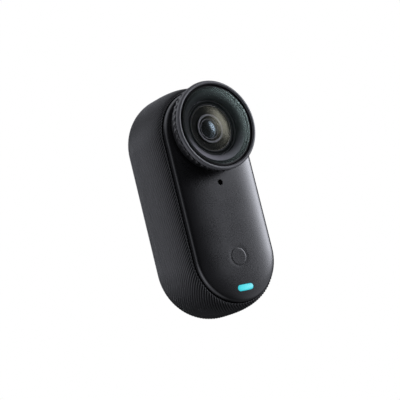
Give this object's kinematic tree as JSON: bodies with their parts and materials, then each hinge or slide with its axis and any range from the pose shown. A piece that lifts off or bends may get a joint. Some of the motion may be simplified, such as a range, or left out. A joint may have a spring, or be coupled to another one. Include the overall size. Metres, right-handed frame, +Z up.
{
  "type": "action camera",
  "caption": "Thumb-size pill-shaped wearable action camera with a screw-on round lens guard, ribbed sides, shutter button, status light and a flat magnetic back.",
  "frame": {"origin": "centre of the flat magnetic back face", "axes": "+Z up along the body, away from the charging contacts and towards the lens; -Y the way the lens looks; +X to the right as seen by someone looking at the lens"},
  "size_m": [0.0258, 0.0248, 0.0544],
  "materials": {
    "shell": "moulded, fine ribs, matte",
    "cover": "satin dark grey, slightly domed",
    "back": "fine matte",
    "button_cap": "satin dark grey",
    "side_button": "matte",
    "frame_metal": "die-cast, bead blasted",
    "black_metal": "black anodised",
    "black_plastic": "black, anti-reflective",
    "seal_rubber": "soft silicone",
    "clear_glass": "coated, clear",
    "lens_glass": "polished, coated",
    "filter_glass": "pale blue",
    "steel": "zinc plated",
    "magnet_plate": "nickel plated",
    "rotor_metal": "sintered heavy alloy",
    "gold": "gold plated",
    "copper_foil": "copper foil",
    "flex": "polyimide ribbon",
    "lead": "soft insulation",
    "board": "solder mask",
    "chip": "moulded, matte",
    "switch_body": "satin",
    "plunger": "natural nylon",
    "pad": "soft gap filler",
    "cell": "foil pouch",
    "light": "clear, lit from behind"
  },
  "bodies": {
    "camera_body": {"side_shell": "shell", "front_cover": "cover", "back_plate": "back", "mid_frame": "frame_metal", "lens_collar": "black_metal", "lens_barrel": "black_plastic", "lens_spacer": "black_plastic", "aperture_ring": "black_plastic", "sensor_holder": "black_plastic", "speaker": "black_plastic", "front_gasket": "seal_rubber", "button_seal": "seal_rubber", "mic_gasket": "seal_rubber", "front_lens": "lens_glass", "second_lens": "lens_glass", "third_lens": "lens_glass", "rear_lens": "lens_glass", "ir_filter": "filter_glass", "frame_screws": "steel", "barrel_screws": "steel", "front_board_screws": "steel", "shield_can": "steel", "motor_can": "steel", "motor_pin": "steel", "magnet_yoke": "steel", "mic_mesh": "steel", "magnets": "magnet_plate", "contact_pins": "gold", "antenna": "copper_foil", "sensor_flex": "flex", "front_flex": "flex", "charging_flex": "flex", "battery_lead": "lead", "main_board": "board", "front_board": "board", "sensor_board": "board", "contact_board": "board", "side_switch_board": "board", "processor": "chip", "memory_chip": "chip", "image_sensor": "chip", "microphone": "chip", "light_chips": "chip", "shutter_switch": "switch_body", "power_switch": "switch_body", "thermal_pad": "pad", "battery": "cell", "light_guide": "light"},
    "guard_carriage": {"guard_oring": "seal_rubber"},
    "lens_guard": {"guard_ring": "black_metal", "guard_glass": "clear_glass", "glass_gasket": "seal_rubber"},
    "shutter": {"shutter_button": "button_cap", "shutter_plunger": "plunger"},
    "power": {"power_button": "side_button", "power_plunger": "plunger"},
    "vibration_weight": {"motor_rotor": "rotor_metal"}
  },
  "joints": [
    {"name": "lens_guard_rise", "type": "slide", "parent": "camera_body", "child": "guard_carriage", "axis": [0, -1, 0], "range_m": [0, 0.0015]},
    {"name": "lens_guard_turn", "type": "hinge", "parent": "guard_carriage", "child": "lens_guard", "pos_m": [0, -0.0224, 0.0153], "axis": [0, -1, 0], "range_deg": [0, 722]},
    {"name": "shutter_button_press", "type": "slide", "parent": "camera_body", "child": "shutter", "axis": [0, 1, 0], "range_m": [0, 0.0003], "stiffness_N_per_m": 4000, "springref_m": -0.0001},
    {"name": "power_button_press", "type": "slide", "parent": "camera_body", "child": "power", "axis": [-1, 0, 0], "range_m": [0, 0.0003], "stiffness_N_per_m": 4000, "springref_m": -0.0001},
    {"name": "vibration_weight_spin", "type": "hinge", "parent": "camera_body", "child": "vibration_weight", "pos_m": [-0.0042, -0.0153, -0.0185], "axis": [0, -1, 0], "continuous": true}
  ],
  "couplings": [
    {"joint": "lens_guard_turn", "follows": "lens_guard_rise", "rad_per_m": 8377.6}
  ]
}
